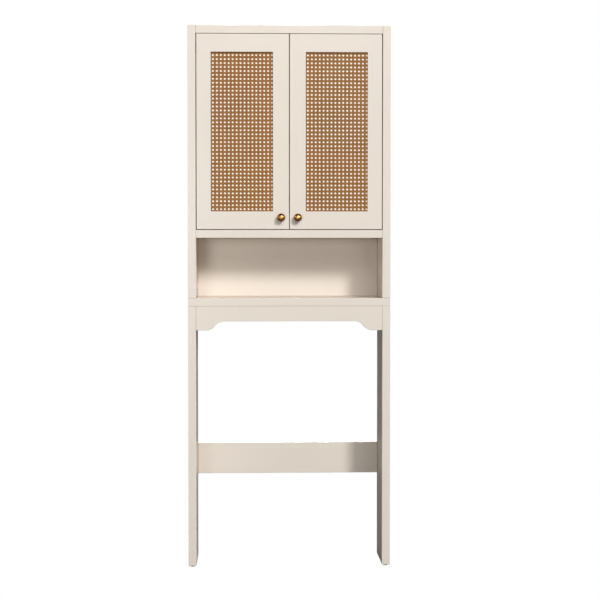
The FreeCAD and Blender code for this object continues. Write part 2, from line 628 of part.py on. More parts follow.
# ---- Catch, wall brackets and glides -------------------------------------------------------
def make_catch():
    """A double magnetic catch under the top panel, one magnet for each door."""
    magnet_v = DOOR_THICKNESS + STRIKE_THICKNESS + STRIKE_GAP
    front = magnet_v + MAGNET_PROUD
    bottom = TOP_BOTTOM - CATCH_HEIGHT
    keep("magnetic_catch", [rounded(block(
        -CATCH_HALF_WIDTH, CATCH_HALF_WIDTH, front, front + CATCH_DEPTH, bottom, TOP_BOTTOM,
    ), 1.0)])
    z0 = bottom + (CATCH_HEIGHT - MAGNET_HEIGHT) / 2
    for sign in (-1, 1):
        ends = sorted((sign * MAGNET_INNER, sign * (MAGNET_INNER + MAGNET_WIDTH)))
        magnet = block(*ends, magnet_v, magnet_v + MAGNET_DEPTH, z0, z0 + MAGNET_HEIGHT)
        keep("catch_magnets", [magnet])
        cut_from("magnetic_catch", [magnet])
    recess = CATCH_HEIGHT / 2
    for v in CATCH_SCREW_DEPTHS:
        seat = at(0, front + v, bottom + recess)
        sink = rod(seat, -Z, recess, SMALL_HEAD_RADIUS + 2 * SCREW_CLEARANCE)
        cut_from("magnetic_catch", [sink])
        screw("catch_screws", ["magnetic_catch", "top_panel"], seat, Z, CATCH_HEIGHT + recess / 2,
              SMALL_SCREW_RADIUS, SMALL_HEAD_RADIUS)


def make_wall_brackets():
    """Two angle brackets under the top panel; the wall screws pass through the back panel."""
    for sign in (-1, 1):
        centre = sign * BRACKET_SPACING / 2
        x = (centre - BRACKET_WIDTH / 2, centre + BRACKET_WIDTH / 2)
        flat = block(*x, BACK_V0 - BRACKET_LEG, BACK_V0, TOP_BOTTOM - BRACKET_THICKNESS, TOP_BOTTOM)
        upright = block(*x, BACK_V0 - BRACKET_THICKNESS, BACK_V0, TOP_BOTTOM - BRACKET_LEG, TOP_BOTTOM)
        hole_z = TOP_BOTTOM - WALL_HOLE_BELOW_TOP
        hole = rod(at(centre, BACK_V0 - BRACKET_LEG, hole_z), Y, 2 * BRACKET_LEG, WALL_HOLE_RADIUS)
        node = "wall_bracket_" + ("left" if sign < 0 else "right")
        keep(node, [joined(flat, upright).cut(hole)])
        cut_from("back_panel", [hole])
        seat = at(centre, BACK_V0 - BRACKET_LEG * 0.6, TOP_BOTTOM - BRACKET_THICKNESS)
        screw("wall_bracket_screws", [node, "top_panel"], seat, Z, BOARD * 0.6)


def make_glides():
    """Nail-on glides, one near each corner of the leg panels."""
    sole = Vector(GLIDE_SOLE_RADIUS, 0, 0)
    shoulder = Vector(GLIDE_RADIUS, 0, GLIDE_HEIGHT * 0.75)
    bulge = Vector(GLIDE_RADIUS * 0.88, 0, GLIDE_HEIGHT * 0.3)
    rim = Vector(GLIDE_RADIUS, 0, GLIDE_HEIGHT)
    profile = Part.Wire([
        Part.makeLine(Vector(0, 0, 0), sole),
        Part.Arc(sole, bulge, shoulder).toShape(),
        Part.makeLine(shoulder, rim),
        Part.makeLine(rim, Vector(0, 0, GLIDE_HEIGHT)),
        Part.makeLine(Vector(0, 0, GLIDE_HEIGHT), Vector(0, 0, 0)),
    ])
    dome = Part.Face(profile).revolve(Vector(0, 0, 0), Z, 360)
    dome = dome.cut(rod(Z * GLIDE_SOLE_WALL, Z, GLIDE_HEIGHT, NAIL_RADIUS + SCREW_CLEARANCE))
    for side, sign in (("left", -1), ("right", 1)):
        for end, v in (("front", GLIDE_FROM_EDGE), ("rear", CARCASS_DEPTH - GLIDE_FROM_EDGE)):
            foot = at(sign * (OUTER_X - BOARD / 2), v, 0)
            glide = dome.copy()
            glide.translate(foot)
            keep("foot_glides_" + side, [glide])
            keep("glide_nails", [rod(foot + Z * GLIDE_SOLE_WALL, Z, NAIL_LENGTH, NAIL_RADIUS)])
            hole = rod(foot, Z, GLIDE_SOLE_WALL + NAIL_LENGTH + DRILL_SPARE,
                       NAIL_RADIUS + SCREW_CLEARANCE)
            cut_from("leg_panel_" + side, [hole])


# ---- Build and export ----------------------------------------------------------------------
def main():
    make_uprights()
    make_level_boards()
    make_back_panel()
    make_rails()
    make_board_joints()
    make_shelf()
    make_left_door()
    mirror_doors()
    make_catch()
    make_wall_brackets()
    make_glides()
    os.makedirs("parts", exist_ok=True)
    for name, solids in nodes.items():
        shape = solids[0] if len(solids) == 1 else Part.makeCompound(solids)
        shape.exportStep("parts/" + name + ".step")


main()
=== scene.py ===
"""Over-the-toilet storage rack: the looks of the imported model, its light and its camera."""

import math

import bpy
import numpy as np
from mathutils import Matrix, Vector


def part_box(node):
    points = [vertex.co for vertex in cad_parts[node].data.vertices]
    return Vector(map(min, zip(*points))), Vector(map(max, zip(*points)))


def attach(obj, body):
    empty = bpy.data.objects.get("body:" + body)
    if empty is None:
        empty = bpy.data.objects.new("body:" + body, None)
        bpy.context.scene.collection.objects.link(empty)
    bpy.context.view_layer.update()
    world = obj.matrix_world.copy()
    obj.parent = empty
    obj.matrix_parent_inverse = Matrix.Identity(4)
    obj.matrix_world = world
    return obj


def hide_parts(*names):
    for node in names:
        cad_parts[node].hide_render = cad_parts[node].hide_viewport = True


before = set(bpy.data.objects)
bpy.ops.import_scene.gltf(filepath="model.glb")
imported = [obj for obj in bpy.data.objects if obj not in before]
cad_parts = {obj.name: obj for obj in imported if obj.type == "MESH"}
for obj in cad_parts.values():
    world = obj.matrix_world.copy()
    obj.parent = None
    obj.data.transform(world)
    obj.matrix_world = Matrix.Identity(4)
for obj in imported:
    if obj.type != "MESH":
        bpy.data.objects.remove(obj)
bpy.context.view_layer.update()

bl_info = {
    "name": "Over-the-Toilet Storage Rack",
    "version": (1, 0, 0),
    "blender": (4, 5, 0),
    "location": "View3D > Sidebar > Rack",
    "description": "Weaves the cane doors, turns the knobs and finishes every part of a bathroom rack",
    "category": "Object",
}

SAMPLES_PER_PITCH = 8          # rings of a cane strand from one hole to the next
SHORTEST_STEP = 1e-7           # a diagonal's steps along x that are shorter than this are left out, in metres
FACE_SHARE = 0.55              # how much of a strand's width is flat
CANE_LENGTH = 3.0              # each strand's fibres start at random within this length, in metres
STRAND_STEP = 1.7              # from one strand's fibres to the next strand's, in strand widths
CANE_SEED = 11
STRAND_SHARP = math.radians(75.0)   # a cane strand is shaded smooth over edges flatter than this
KNOB_SHARP = math.radians(40.0)     # a knob is shaded smooth over edges flatter than this
RIM_POINTS = 5                 # profile points of each quarter circle of a knob's foot
BALL_POINTS = 40               # profile points of a knob's ball
# Painted shade in the board joints and at the cane crossings is found with this many rays
SHADE_SAMPLES = 6               # rays that look for a joint or a crossing
LIGHT_DISTANCE = 3.0           # from the rack's middle line to a soft light, in metres
LIGHT_AIM = 0.95               # the height that the lights are turned to, in metres
# Each soft light's power setting, turn to the right and height in degrees, and width and height in metres
SOFT_LIGHTS = {
    "left_fill_light": ("left_power", -18.0, 3.0, 0.65, 0.6),
    "right_fill_light": ("right_power", 32.0, 3.0, 0.75, 0.6),
    "high_light": ("high_power", 6.0, 35.0, 1.5, 1.5),
    "front_light": ("front_power", 20.0, -2.0, 0.5, 0.5),
}
# Each even light's strength setting, and its turn to the right and height in degrees. They run square
# to the sides or to the back, so they miss the front, and each side shades the other's inner face.
EVEN_LIGHTS = {
    "rear_light": ("rear_strength", 180.0, 30.0),
    "left_side_light": ("left_side_strength", -90.0, 20.0),
    "right_side_light": ("right_side_strength", 90.0, 20.0),
}


# ---- Colours and nodes ----------------------------------------------------------------------
def linear(code):
    """A six-digit sRGB hex code as linear red, green and blue."""
    share = np.array([int(code[i:i + 2], 16) for i in (0, 2, 4)]) / 255.0
    light = np.where(share <= 0.04045, share / 12.92, ((share + 0.055) / 1.055) ** 2.4)
    return tuple(float(c) for c in light)


def add_node(tree, kind, inputs=None, **settings):
    """Adds one node. Inputs are values, or the outputs of other nodes to link from.

    A mix of colours has its sockets by number: input 0 is the share of the second colour, inputs 6 and
    7 are the two colours, and output 2 is their mix."""
    node = tree.nodes.new(kind)
    for name, value in settings.items():
        setattr(node, name, value)
    for socket, value in (inputs or {}).items():
        if isinstance(value, bpy.types.NodeSocket):
            tree.links.new(value, node.inputs[socket])
        else:
            node.inputs[socket].default_value = value
    return node


def new_finish(name):
    """An empty node material and its tree."""
    finish = bpy.data.materials.new(name)
    finish.use_nodes = True
    finish.node_tree.nodes.clear()
    return finish, finish.node_tree


def opaque(colour, factor=1.0):
    """A colour, made darker or lighter by a factor, with full alpha for a node's colour socket."""
    return (*(min(1.0, c * factor) for c in colour[:3]), 1.0)


def spots(millimetres):
    """The scale of a noise over metres that makes its spots this many millimetres across."""
    return 1000.0 / millimetres


# ---- Meshes from whole arrays ---------------------------------------------------------------
def add_piece(name, points, faces, finish, sharp_angle, coordinates=None, shade=None):
    """A mesh object at the origin, smooth up to an angle, with optional map coordinates and a shade
    for each point."""
    mesh = bpy.data.meshes.new(name)
    mesh.from_pydata(points.tolist(), [], faces)
    corners = np.empty(len(mesh.loops), dtype=np.int32)
    mesh.loops.foreach_get("vertex_index", corners)
    if coordinates is not None:
        layer = mesh.uv_layers.new(name="UVMap")
        layer.data.foreach_set("uv", coordinates[corners].astype(np.float32).ravel())
    if shade is not None:
        layer = mesh.attributes.new("shade", "FLOAT", "POINT")
        layer.data.foreach_set("value", shade.astype(np.float32))
    mesh.polygons.foreach_set("use_smooth", np.ones(len(mesh.polygons), dtype=bool))
    mesh.set_sharp_from_angle(angle=sharp_angle)
    mesh.materials.append(finish)
    mesh.update()
    piece = bpy.data.objects.new(name, mesh)
    bpy.context.scene.collection.objects.link(piece)
    return piece


def carried_section(line, live, section):
    """Carries a flat section along many lines at once. Gives the points and the faces, and each point's
    length along its strand, its place across it and its strand's number.

    line is strand by sample by xyz, and the front, out, is -Y. A strand's across is out x run, where
    run is the way from its first sample to its last. Point k of the section stands at
    line + across * section[k, 0] + out * section[k, 1]. Neighbouring rings are joined by quads where
    live, which is strand by sample less one, is true, and a cap closes each end of a strand."""
    strands, samples, _ = line.shape
    count = len(section)
    out = np.array([0.0, -1.0, 0.0])
    run = (line[:, -1] - line[:, 0]) * (1.0, 0.0, 1.0)
    across = np.cross(out, run / np.linalg.norm(run, axis=1, keepdims=True))[:, None, None, :]
    sideways = section[None, None, :, :1] * across
    outwards = section[None, None, :, 1:] * out
    points = line[:, :, None, :] + sideways + outwards
    index = np.arange(strands * samples * count).reshape(strands, samples, count)
    turned = np.roll(index, -1, axis=2)
    quads = np.stack([index[:, :-1], turned[:, :-1], turned[:, 1:], index[:, 1:]], axis=-1)
    quads = quads[live].reshape(-1, 4)
    row = np.arange(strands)
    used = live.any(axis=1)
    start_caps = index[row, live.argmax(axis=1)][used][:, ::-1]
    end_caps = index[row, live.shape[1] - live[:, ::-1].argmax(axis=1)][used]
    step = np.linalg.norm(np.diff(line, axis=1), axis=-1)
    length = np.concatenate([np.zeros((strands, 1)), np.cumsum(step, axis=1)], axis=1)
    kept, inverse = np.unique(np.concatenate([quads.ravel(), start_caps.ravel(), end_caps.ravel()]),
                              return_inverse=True)
    sides, starts, ends = np.split(inverse, np.cumsum([quads.size, start_caps.size]))
    caps = np.concatenate([starts, ends]).reshape(-1, count)
    faces = sides.reshape(-1, 4).tolist() + caps.tolist()
    length, side, strand = (np.broadcast_to(value, index.shape).ravel()[kept]
                            for value in (length[:, :, None], section[:, 0], row[:, None, None]))
    return points.reshape(-1, 3)[kept], faces, length, side, strand


def turned_profile(radius, out, centre, turns):
    """Points and faces of a profile turned about a line through centre along Y.

    A ring stands for each profile place between the two poles: x = radius cos(a), z = radius sin(a),
    and y is out towards the front. The first and last place have no radius and are single points. The
    map coordinates are the share of a turn and the way along the profile from its last place."""
    angle = np.linspace(0.0, 2.0 * np.pi, turns, endpoint=False)
    ring_radius, ring_out = radius[1:-1, None], out[1:-1, None]
    rings = np.stack([
        centre[0] + ring_radius * np.cos(angle),
        centre[1] - np.broadcast_to(ring_out, (len(radius) - 2, turns)),
        centre[2] + ring_radius * np.sin(angle),
    ], axis=-1).reshape(-1, 3)
    poles = np.array([centre, centre]) - np.outer([out[0], out[-1]], [0.0, 1.0, 0.0])
    points = np.concatenate([rings, poles])
    index = np.arange(len(rings)).reshape(-1, turns)
    turned_on = np.roll(index, -1, axis=1)
    quads = np.stack([index[:-1], turned_on[:-1], turned_on[1:], index[1:]], axis=-1).reshape(-1, 4)
    back, front = len(rings), len(rings) + 1
    back_fan = np.stack([turned_on[0], index[0], np.full(turns, back)], axis=-1)
    front_fan = np.stack([index[-1], turned_on[-1], np.full(turns, front)], axis=-1)
    walk = np.concatenate([[0.0], np.cumsum(np.hypot(np.diff(radius), np.diff(out)))])
    walk = walk[-1] - walk
    walked = np.concatenate([np.repeat(walk[1:-1], turns), walk[[0, -1]]])
    turned = np.concatenate([np.tile(angle / (2.0 * np.pi), len(radius) - 2), [0.0, 0.0]])
    faces = quads.tolist() + back_fan.tolist() + front_fan.tolist()
    return points, faces, np.stack([turned, walked], axis=-1)


# ---- Sizes and colours a user may change ----------------------------------------------------
def length_property(name, note, size):
    """A length in metres."""
    return bpy.props.FloatProperty(name=name, description=note, default=size, unit="LENGTH", precision=5)


def angle_property(name, note, degrees):
    """An angle, from its degrees."""
    return bpy.props.FloatProperty(name=name, description=note, default=math.radians(degrees),
                                   unit="ROTATION")


def number_property(name, note, value):
    """A number without a unit of Blender's own."""
    return bpy.props.FloatProperty(name=name, description=note, default=value, unit="NONE")


def colour_property(name, note, code):
    """A colour, from its sRGB hex code."""
    return bpy.props.FloatVectorProperty(name=name, description=note, default=linear(code),
                                         subtype="COLOR", size=3, min=0.0, max=1.0)


class RackCaneSizes(bpy.types.PropertyGroup):
    """The woven cane"""
    pitch: length_property("Pitch", "From one hole of the weave to the next", 0.0123)
    sheet_reach: length_property("Sheet reach", "How far the sheet runs under the door frame", 0.0049)
    first_hole: length_property("First hole", "From the opening's left edge to the first column", 0.0070)
    last_hole: length_property("Last hole", "From the opening's lower edge to the last row", 0.0072)
    pair_spread: length_property("Pair spread", "From a pair's middle to each of its two strands", 0.0014)
    straight_width: length_property("Straight strand", "Width of an upright or level strand", 0.0024)
    slanting_width: length_property("Slanting strand", "Width of a diagonal strand", 0.0027)
    thickness: length_property("Thickness", "Thickness of a strand", 0.00043)
    straight_rise: length_property("Straight rise", "How far an upright or level strand weaves", 0.00028)
    slanting_rise: length_property("Slanting rise", "How far a diagonal strand weaves in and out", 0.0007)
    end_inset: length_property("End inset", "From the sheet's edge to a diagonal strand's end", 0.0010)
    # Painted shade at the cane crossings reaches this far
    crossing_shade_reach: length_property("Crossing reach", "How far the dark of a crossing spreads", 0.0025)
    light: colour_property("Light cane", "The palest strands", "CE8C3C")
    dark: colour_property("Dark cane", "The darkest strands and fibres", "714718")


class RackKnobSizes(bpy.types.PropertyGroup):
    """The ball knobs"""
    standoff: length_property("Standoff", "From the door to the ball", 0.0010)
    flange_radius: length_property("Flange radius", "Radius of the foot against the door", 0.0075)
    flange_thickness: length_property("Flange thickness", "Thickness of the foot", 0.0018)
    flange_round: length_property("Flange rounding", "Rounding of the foot's rim", 0.0006)
    neck_radius: length_property("Neck radius", "Radius where the ball meets the foot", 0.0045)
    bore_radius: length_property("Bore radius", "Radius of the threaded hole", 0.0021)
    bore_depth: length_property("Bore depth", "Depth of the threaded hole", 0.0105)
    turns: bpy.props.IntProperty(name="Facets", description="Facets round a knob", default=72, min=12)
    # Painted highlight and painted shade: the pale rubbed cap at the front of the ball and the dark film
    # towards its rim
    highlight_reach: length_property("Rubbed reach", "From the front to the edge of the rubbed cap", 0.0030)
    rim_shade_reach: length_property("Film reach", "From the front to the full brown film", 0.0120)
    brass: colour_property("Brass", "Rubbed brass at the front of the ball", "F2BE68")
    patina_and_rim_shade: colour_property("Patina", "Red-brown film round the ball", "6A2A0C")


class RackFinishColours(bpy.types.PropertyGroup):
    """The finishes of the CAD pieces"""
    lacquer: colour_property("Lacquer", "Cream lacquer of the boards and door frames", "E7DDD1")
    # Painted shade: the darker tan colour, and its reach, that is painted into the board joints where ambient
    # occlusion finds them
    joint_shade_colour: colour_property("Pooled lacquer", "Lacquer pooled and yellowed in the joints", "A07A50")
    joint_shade_reach: length_property("Joint reach", "How far pooled lacquer spreads from a joint", 0.0032)
    backing: colour_property("Backing", "Light board behind the cane", "FFF4E2")
    nickel: colour_property("Nickel", "Plated steel of the hinges and brackets", "C8C6C0")
    screw_zinc: colour_property("Screw zinc", "Zinc plate on the screws", "B9BAB8")
    cast_zinc: colour_property("Cast zinc", "Raw die-cast zinc of the cam nuts", "9A9C9E")
    white_plastic: colour_property("White plastic", "Glides and catch", "ECEBE6")
    cream_plastic: colour_property("Cream plastic", "Caps over the cam nuts", "EFE4D5")
    ferrite: colour_property("Ferrite", "The catch's magnets", "2E2D2C")
    beech: colour_property("Beech", "The wooden dowels", "D9B58A")
    beech_fleck: colour_property("Beech fleck", "The dowels' darker rays", "B58654")


class RackStudio(bpy.types.PropertyGroup):
    """The camera, the lights and the floor"""
    camera_place: bpy.props.FloatVectorProperty(
        name="Camera", description="Where the camera stands", default=(-0.1389, -4.9918, 1.0103),
        subtype="TRANSLATION", unit="LENGTH")
    camera_yaw: angle_property("Yaw", "Turn of the camera to the right", 2.01)
    camera_pitch: angle_property("Pitch", "Tilt of the camera downwards", 1.948)
    lens: number_property("Lens", "Focal length in millimetres", 93.94)
    key_strength: number_property("Key", "Strength of the key light", 1.95)
    key_softness: angle_property("Key softness", "Width of the key light as the rack sees it", 11.0)
    key_azimuth: angle_property("Key azimuth", "Turn of the key light to the right", 28.0)
    key_elevation: angle_property("Key elevation", "Height of the key light", 30.5)
    left_power: number_property("Left fill", "Power of the left fill light, in watts", 15.0)
    right_power: number_property("Right fill", "Power of the right fill light, in watts", 2.5)
    front_power: number_property("Front", "Power of the low front light, in watts", 3.5)
    high_power: number_property("High", "Power of the high front light, in watts", 22.0)
    rear_strength: number_property("Rear", "Strength of the even light from behind", 2.6)
    left_side_strength: number_property("Left side", "Strength of the even light on the left side", 1.8)
    right_side_strength: number_property("Right side", "Strength of the even light on the right side", 1.1)
    even_softness: angle_property("Even softness", "Width of the even lights as the rack sees them", 8.0)
    surround: colour_property("Surround", "Dim light from all round", "202020")
    backdrop: colour_property("Backdrop", "The backdrop as the camera sees it", "FFFFFF")
    floor: colour_property("Floor", "The floor as it lights the rack", "686765")
    floor_size: length_property("Floor size", "Side of the square floor", 30.0)


# ---- Finishes -------------------------------------------------------------------------------
def lacquered_board(colours):
    """Medium-density fibreboard, sprayed with satin cream lacquer."""
    # Sprayed lacquer gives the eye an even, soft sheen, with a faint drift in tone over 200 mm and a
    # trace of orange peel. Real orange peel is 1 to 2 mm, too fine to show, so it is drawn at about
    # 6 mm. The joints get painted shade: a darker tan within a few millimetres of where two boards
    # meet, found by ambient occlusion, but not in the open gaps.
    finish, tree = new_finish("satin_lacquered_mdf")
    place = add_node(tree, "ShaderNodeTexCoord").outputs["Object"]
    drift = add_node(tree, "ShaderNodeTexNoise", {"Vector": place, "Scale": spots(200.0), "Detail": 1.0})
    peel = add_node(tree, "ShaderNodeTexNoise", {"Vector": place, "Scale": spots(6.25)})
    # Ambient occlusion finds the joints and creases that get painted shade
    joint = add_node(tree, "ShaderNodeAmbientOcclusion", {"Distance": colours.joint_shade_reach},
                     samples=SHADE_SAMPLES)
    clouded = add_node(tree, "ShaderNodeMapRange", {
        "Value": drift.outputs["Fac"], "From Min": 0.35, "From Max": 0.65})
    crease_shade = add_node(tree, "ShaderNodeMapRange", {
        "Value": joint.outputs["AO"], "From Min": 0.96, "From Max": 0.5})
    shut = add_node(tree, "ShaderNodeMapRange", {
        "Value": joint.outputs["AO"], "From Min": 0.12, "From Max": 0.4})
    # Painted shade: darker tan where a joint or crease is found, left out of the deep open gaps
    joint_shade_share = add_node(tree, "ShaderNodeMath", {
        0: crease_shade.outputs["Result"], 1: shut.outputs["Result"]}, operation="MULTIPLY")
    sprayed = add_node(tree, "ShaderNodeMix", {
        0: clouded.outputs["Result"], 6: opaque(colours.lacquer, 0.985), 7: opaque(colours.lacquer),
    }, data_type="RGBA")
    colour = add_node(tree, "ShaderNodeMix", {
        0: joint_shade_share.outputs[0], 6: sprayed.outputs[2], 7: opaque(colours.joint_shade_colour),
    }, data_type="RGBA")
    sheen = add_node(tree, "ShaderNodeMapRange", {
        "Value": peel.outputs["Fac"], "From Min": 0.3, "From Max": 0.7, "To Min": 0.29, "To Max": 0.35})
    bump = add_node(tree, "ShaderNodeBump", {
        "Height": peel.outputs["Fac"], "Strength": 0.06, "Distance": 0.0003})
    shader = add_node(tree, "ShaderNodeBsdfPrincipled", {
        "Base Color": colour.outputs[2], "Roughness": sheen.outputs["Result"],
        "Normal": bump.outputs["Normal"], "IOR": 1.5})
    add_node(tree, "ShaderNodeOutputMaterial", {"Surface": shader.outputs["BSDF"]})
    return finish


def lacquered_hardboard(colours):
    """Thin hardboard with a matt cream coat, behind the cane."""
    # A rolled coat gives the eye a matt face with a stipple. Real stipple is under 1 mm, too fine to
    # show, so it is drawn at about 3 mm.
    finish, tree = new_finish("matt_coated_hardboard")
    place = add_node(tree, "ShaderNodeTexCoord").outputs["Object"]
    stipple = add_node(tree, "ShaderNodeTexNoise", {"Vector": place, "Scale": spots(3.125)})
    colour = add_node(tree, "ShaderNodeMix", {
        0: stipple.outputs["Fac"], 6: opaque(colours.backing, 0.97), 7: opaque(colours.backing),
    }, data_type="RGBA")
    bump = add_node(tree, "ShaderNodeBump", {
        "Height": stipple.outputs["Fac"], "Strength": 0.1, "Distance": 0.0002})
    shader = add_node(tree, "ShaderNodeBsdfPrincipled", {
        "Base Color": colour.outputs[2], "Roughness": 0.6, "Normal": bump.outputs["Normal"]})
    add_node(tree, "ShaderNodeOutputMaterial", {"Surface": shader.outputs["BSDF"]})
    return finish


def peeled_cane(cane):
    """Rattan skin, split and peeled into flat strands and woven."""
    # Peeled rattan gives the eye a golden tan skin with a low shine, fibres of about 22 mm along each
    # strand, a growth ring here and there, and strands that differ in tone. Fibres are 0.1 to 0.2 mm
    # wide, too fine to show, so they are drawn four to a strand's width. Painted shade darkens the
    # strands where they cross, found by ambient occlusion.
    finish, tree = new_finish("peeled_rattan_cane")
    along = add_node(tree, "ShaderNodeUVMap", uv_map="UVMap").outputs["UV"]
    fibre_place = add_node(tree, "ShaderNodeMapping", {"Vector": along, "Scale": (spots(22.2), 4.0, 1.0)})
    ring_place = add_node(tree, "ShaderNodeMapping", {"Vector": along, "Scale": (spots(71.4), 1.0, 1.0)})
    fibres = add_node(tree, "ShaderNodeTexNoise", {
        "Vector": fibre_place.outputs["Vector"], "Scale": 1.0, "Detail": 3.0, "Roughness": 0.6})
    rings = add_node(tree, "ShaderNodeTexNoise", {"Vector": ring_place.outputs["Vector"], "Scale": 1.0})
    tone = add_node(tree, "ShaderNodeAttribute", attribute_name="shade")
    crossing = add_node(tree, "ShaderNodeAmbientOcclusion", {"Distance": cane.crossing_shade_reach},
                        samples=SHADE_SAMPLES)
    fibre_share = add_node(tree, "ShaderNodeMapRange", {
        "Value": fibres.outputs["Fac"], "From Min": 0.25, "From Max": 0.7})
    tone_share = add_node(tree, "ShaderNodeMapRange", {"Value": tone.outputs["Fac"], "To Max": 0.8})
    ring_share = add_node(tree, "ShaderNodeMapRange", {
        "Value": rings.outputs["Fac"], "From Min": 0.62, "From Max": 0.75, "To Max": 0.35})
    # Painted shade: darker where ambient occlusion finds a crossing
    crossing_shade_share = add_node(tree, "ShaderNodeMapRange", {
        "Value": crossing.outputs["AO"], "From Min": 0.95, "From Max": 0.45, "To Max": 0.75})
    streaked = add_node(tree, "ShaderNodeMix", {
        0: fibre_share.outputs["Result"], 6: opaque(cane.dark), 7: opaque(cane.light),
    }, data_type="RGBA")
    toned = add_node(tree, "ShaderNodeMix", {
        0: tone_share.outputs["Result"], 6: streaked.outputs[2], 7: opaque(cane.dark, 1.25),
    }, data_type="RGBA")
    ringed = add_node(tree, "ShaderNodeMix", {
        0: ring_share.outputs["Result"], 6: toned.outputs[2], 7: opaque(cane.dark, 0.6),
    }, data_type="RGBA")
    colour = add_node(tree, "ShaderNodeMix", {
        0: crossing_shade_share.outputs["Result"], 6: ringed.outputs[2], 7: opaque(cane.dark, 0.35),
    }, data_type="RGBA")
    shine = add_node(tree, "ShaderNodeMapRange", {
        "Value": fibres.outputs["Fac"], "From Min": 0.25, "From Max": 0.7, "To Min": 0.6, "To Max": 0.5})
    bump = add_node(tree, "ShaderNodeBump", {
        "Height": fibres.outputs["Fac"], "Strength": 0.35, "Distance": 0.0001})
    shader = add_node(tree, "ShaderNodeBsdfPrincipled", {
        "Base Color": colour.outputs[2], "Roughness": shine.outputs["Result"],
        "Normal": bump.outputs["Normal"], "IOR": 1.4})
    add_node(tree, "ShaderNodeOutputMaterial", {"Surface": shader.outputs["BSDF"]})
    return finish


def antique_brass(knob):
    """Turned brass, tarnished red-brown and rubbed back on the front, with a painted highlight on the front
    and painted shade round the rim.
    """
    # Antiqued brass gives the eye a pale gold where fingers rub it, at the front of the ball, which is
    # also a painted highlight, and a dark red-brown film round it that is deepest beside the door, which
    # is also painted shade at the ball's rim. The film's clouds are about 4 mm.
    finish, tree = new_finish("antiqued_turned_brass")
    place = add_node(tree, "ShaderNodeTexCoord").outputs["Object"]
    clouds = add_node(tree, "ShaderNodeTexNoise", {"Vector": place, "Scale": spots(3.85), "Detail": 3.0})
    from_front = add_node(tree, "ShaderNodeSeparateXYZ", {
        "Vector": add_node(tree, "ShaderNodeUVMap", uv_map="UVMap").outputs["UV"]})
    # Painted highlight and painted shade: pale at the front of the ball, dark red-brown towards its rim and
    # the door
    film = add_node(tree, "ShaderNodeMapRange", {
        "Value": from_front.outputs["Y"], "From Min": knob.highlight_reach, "From Max": knob.rim_shade_reach,
        "To Min": 1.0, "To Max": 0.0}, interpolation_type="SMOOTHSTEP")
    patch = add_node(tree, "ShaderNodeMapRange", {
        "Value": clouds.outputs["Fac"], "From Min": 0.3, "From Max": 0.7, "To Min": -0.12, "To Max": 0.12})
    rubbed = add_node(tree, "ShaderNodeMath", {
        0: film.outputs["Result"], 1: patch.outputs["Result"]}, operation="ADD", use_clamp=True)
    colour = add_node(tree, "ShaderNodeMix", {
        0: rubbed.outputs[0], 6: opaque(knob.patina_and_rim_shade), 7: opaque(knob.brass)}, data_type="RGBA")
    polish = add_node(tree, "ShaderNodeMapRange", {
        "Value": clouds.outputs["Fac"], "From Min": 0.3, "From Max": 0.7, "To Min": 0.3, "To Max": 0.4})
    shader = add_node(tree, "ShaderNodeBsdfPrincipled", {
        "Base Color": colour.outputs[2], "Metallic": 1.0, "Roughness": polish.outputs["Result"]})
    add_node(tree, "ShaderNodeOutputMaterial", {"Surface": shader.outputs["BSDF"]})
    return finish


def plated_nickel(colours):
    """Pressed steel with a satin nickel plate."""
    # Satin nickel gives the eye a soft grey shine with upright draw lines from the press. Real ones are
    # under 0.1 mm, too fine to show, so they are drawn about 1 mm wide and eight times as long.
    finish, tree = new_finish("satin_nickel_plated_steel")
    place = add_node(tree, "ShaderNodeTexCoord").outputs["Object"]
    drawn = add_node(tree, "ShaderNodeMapping", {"Vector": place, "Scale": (1.0, 1.0, 0.12)})
    lines = add_node(tree, "ShaderNodeTexNoise", {
        "Vector": drawn.outputs["Vector"], "Scale": spots(1.11)})
    colour = add_node(tree, "ShaderNodeMix", {
        0: lines.outputs["Fac"], 6: opaque(colours.nickel, 0.88), 7: opaque(colours.nickel),
    }, data_type="RGBA")
    satin = add_node(tree, "ShaderNodeMapRange", {
        "Value": lines.outputs["Fac"], "From Min": 0.3, "From Max": 0.7, "To Min": 0.24, "To Max": 0.38})
    bump = add_node(tree, "ShaderNodeBump", {
        "Height": lines.outputs["Fac"], "Strength": 0.08, "Distance": 0.0001})
    shader = add_node(tree, "ShaderNodeBsdfPrincipled", {
        "Base Color": colour.outputs[2], "Metallic": 1.0, "Roughness": satin.outputs["Result"],
        "Normal": bump.outputs["Normal"]})
    add_node(tree, "ShaderNodeOutputMaterial", {"Surface": shader.outputs["BSDF"]})
    return finish


def plated_zinc(colours):
    """Bright zinc plate on screws, bolts and nails."""
    # Zinc plate gives the eye a bluish bright metal with faint cloudy spangle of about 2 mm.
    finish, tree = new_finish("bright_zinc_plated_steel")
    place = add_node(tree, "ShaderNodeTexCoord").outputs["Object"]
    spangle = add_node(tree, "ShaderNodeTexNoise", {"Vector": place, "Scale": spots(2.0)})
    colour = add_node(tree, "ShaderNodeMix", {
        0: spangle.outputs["Fac"], 6: opaque(colours.screw_zinc, 0.8), 7: opaque(colours.screw_zinc),
    }, data_type="RGBA")
    gloss = add_node(tree, "ShaderNodeMapRange", {
        "Value": spangle.outputs["Fac"], "From Min": 0.3, "From Max": 0.7, "To Min": 0.25, "To Max": 0.42})
    shader = add_node(tree, "ShaderNodeBsdfPrincipled", {
        "Base Color": colour.outputs[2], "Metallic": 1.0, "Roughness": gloss.outputs["Result"]})
    add_node(tree, "ShaderNodeOutputMaterial", {"Surface": shader.outputs["BSDF"]})
    return finish


